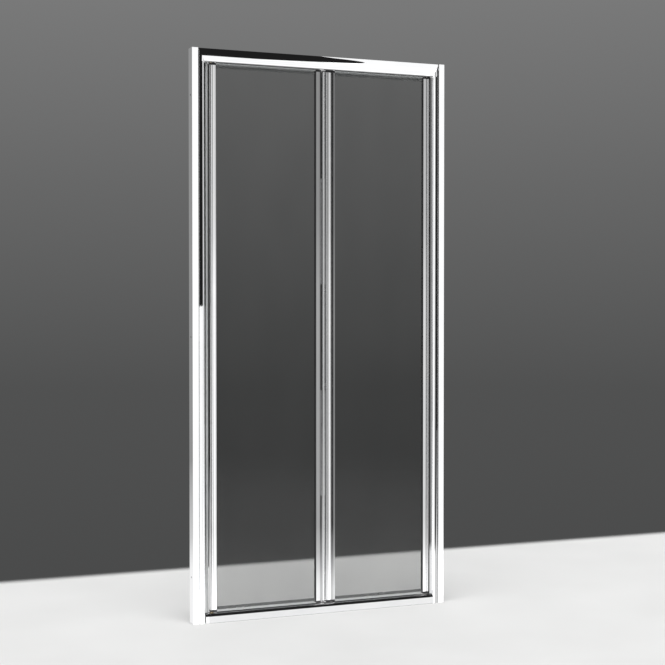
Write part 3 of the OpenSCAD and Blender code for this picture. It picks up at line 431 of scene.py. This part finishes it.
def wedge_cards():
    """Cards above and beyond the right-hand side, whose left edges draw the top rail's wedge."""
    right = Vector((-OVERHEAD_EDGE.y, OVERHEAD_EDGE.x, 0.0))
    middle = OVERHEAD_START + OVERHEAD_EDGE * OVERHEAD_LENGTH / 2 + right * OVERHEAD_WIDTH / 2
    size = (OVERHEAD_WIDTH, OVERHEAD_LENGTH)
    overhead = softbox("overhead_card", middle, (0, 0, -1), size, WHITE_CARD, skips=(*SILL, *PANES))
    overhead.rotation_euler = Euler((0, 0, math.atan2(right.y, right.x)))
    up = Vector((math.sin(WEDGE_LEAN), 0.0, math.cos(WEDGE_LEAN)))
    out = Vector((math.cos(WEDGE_LEAN), 0.0, -math.sin(WEDGE_LEAN)))
    middle = WEDGE_FOOT + up * WEDGE_HEIGHT / 2 + out * WEDGE_WIDTH / 2
    size = (WEDGE_WIDTH, WEDGE_HEIGHT)
    softbox("wedge_card", middle, (0, 1, 0), size, WHITE_CARD, only=TOP, turn=-WEDGE_LEAN)


def floor_glow(name, fade, only=(), skips=()):
    """What the metal mirrors of the floor: bright at the door, fading out before and behind it."""
    front, back = fade[0][0], fade[-1][0]
    across = [((y - front) / (back - front), tone) for y, tone in fade]
    middle = (0, (front + back) / 2, GLOW_HEIGHT)
    size = (back - front, GLOW_WIDTH)
    glow = softbox(name, middle, (0, 0, 1), size, WHITE_CARD, across, only=only, skips=skips)
    glow.rotation_euler = Euler((math.pi, 0, math.pi / 2))


def overhead_sun():
    """Soft light from above the camera for everything that isn't a mirror."""
    light = bpy.data.lights.new("sky_light", "SUN")
    light.energy = SUN_ENERGY
    light.angle = SUN_SPREAD
    made = bpy.data.objects.new("sky_light", light)
    made.rotation_euler = Vector(SUN_TOWARDS).to_track_quat("-Z", "Y").to_euler()
    made.visible_camera = False
    made.visible_transmission = False
    made.visible_glossy = False
    bpy.context.scene.collection.objects.link(made)


def world():
    """A grey backdrop that darkens downwards, and that mirrors show as an even dark studio."""
    made = bpy.data.worlds.new("studio")
    made.use_nodes = True
    made.cycles.sampling_method = "NONE"
    tree = made.node_tree
    path = tree.nodes.new("ShaderNodeLightPath")
    mirrored = tree.nodes.new("ShaderNodeMath")
    mirrored.operation = "SUBTRACT"
    mirrored.use_clamp = True
    mix = tree.nodes.new("ShaderNodeMix")
    mix.data_type = "RGBA"
    coords = tree.nodes.new("ShaderNodeTexCoord")
    split = tree.nodes.new("ShaderNodeSeparateXYZ")
    low, high = SURROUND[0][0], SURROUND[-1][0]
    rise = mapped(tree, split.outputs["Z"], 0.0, 1.0, low, high)
    stops = [((at - low) / (high - low), tone) for at, tone in SURROUND]
    tree.links.new(coords.outputs["Generated"], split.inputs["Vector"])
    tree.links.new(ramp(tree, rise, stops), mix.inputs["A"])
    mix.inputs["B"].default_value = (*STUDIO_DARK, 1.0)
    tree.links.new(path.outputs["Is Glossy Ray"], mirrored.inputs[0])
    tree.links.new(path.outputs["Is Transmission Ray"], mirrored.inputs[1])
    tree.links.new(mirrored.outputs["Value"], mix.inputs["Factor"])
    tree.links.new(mix.outputs["Result"], tree.nodes["Background"].inputs["Color"])
    bpy.context.scene.world = made


def mirrored_at(x):
    """Where along the front card the camera sees a front face at x mirrored."""
    return x + (x - CAMERA_PLACE.x) * FRONT_DISTANCE / -CAMERA_PLACE.y


def front_card():
    """The card in front of the door: its tones from left to right make the stiles' stripes."""
    left = mirrored_at(FRONT_TONES[0][0])
    width = mirrored_at(FRONT_TONES[-1][0]) - left
    across = [((mirrored_at(x) - left) / width, tone) for x, tone in FRONT_TONES]
    height = FRONT_TOP - FRONT_BOTTOM
    up = [((z - FRONT_BOTTOM) / height, tone) for z, tone in FRONT_UP]
    middle = (left + width / 2, -FRONT_DISTANCE, (FRONT_TOP + FRONT_BOTTOM) / 2)
    size = (width, height)
    skips = (*JAMBS, *TOP, *PANES, *CHANNELS, *SILL)
    softbox("front_card", middle, (0, 1, 0), size, FRONT_BRIGHTNESS, across, up, skips=skips)


def camera():
    """The photograph's viewing angle."""
    lens = bpy.data.cameras.new("camera")
    lens.sensor_width = SENSOR_MM
    lens.lens = FOCAL_PX / PHOTO_PX * SENSOR_MM
    made = bpy.data.objects.new("camera", lens)
    made.location = CAMERA_PLACE
    made.rotation_euler = Euler((math.pi / 2 + CAMERA_PITCH, 0, -CAMERA_YAW))
    bpy.context.scene.collection.objects.link(made)
    bpy.context.scene.camera = made


def mirrored_cards():
    """Everything that the metal and the panes mirror."""
    front_card()
    standing_card("channel_card", "front", middle=2.1, width=2.6, only=("wall_channel_left",))
    standing_card("channel_right_card", "front", middle=3.5, width=1.8, only=("wall_channel_right",))
    standing_card("side_card", "back", middle=-2.2, width=2.0, brightness=0.3, only=("wall_channel_left",))
    standing_card("left_card", "left", middle=-2.7, width=7.6, skips=LEFT_SKIPS)
    standing_card(
        "near_left_card", "front", middle=-2.3, width=8.6,
        away=FAR_AWAY, across=NOSE_FADE, skips=(*LEFT_SKIPS, *STILES),
    )
    for name, middle, width in HINGE_CARDS:
        standing_card(name, "front", middle, width, HINGE_BRIGHTNESS, away=FAR_AWAY, only=HINGES)
    standing_card("right_card", "right", middle=-2.4, width=7.4, brightness=0.75, skips=RIGHT_SKIPS)
    standing_card("low_left_card", "left", middle=-2.0, width=6.0, reach=LOW_REACH, only=LOW_NODES)
    standing_card(
        "low_front_card", "front", middle=0.0, width=10.0, reach=LOW_REACH, across=LOW_GAP, only=LOW_NODES,
    )
    standing_card("shoulder_card", "front", middle=2.9, width=0.4, brightness=0.05, only=("jamb_right",))
    standing_card("rail_card", "front", middle=1.0, width=12.0, reach=RAIL_REACH, only=TOP)
    floor_glow("floor_glow", FLOOR_FADE, skips=("jamb_right", *SILL))
    floor_glow("sill_glow", SILL_FADE, only=SILL)
    floor_glow("nose_glow", NOSE_FLOOR_FADE, only=("jamb_right",))
    for name, middle, width, brightness in BACK_CARDS:
        standing_card(name, "back", middle, width, brightness, across=BACK_TONES, skips=PANES)
    for name, side in (("pane_card", "front"), ("pane_back_card", "back")):
        standing_card(
            name, side, middle=0.0, width=14.0, brightness=0.9, reach=PANE_REACH, up=PANE_SHEEN, only=PANES,
        )
    standing_card("back_gap_card", "back", middle=-1.75, width=2.1, brightness=0.4, skips=BACK_SKIPS)
    wedge_cards()


def clear_shadows():
    """The panes let the light through to the floor."""
    for pane in PANES:
        frame["nodes"][pane].visible_shadow = False


camera()
dress_nodes()
floor()
world()
overhead_sun()
mirrored_cards()
clear_shadows()
bpy.context.scene.view_settings.view_transform = "Standard"
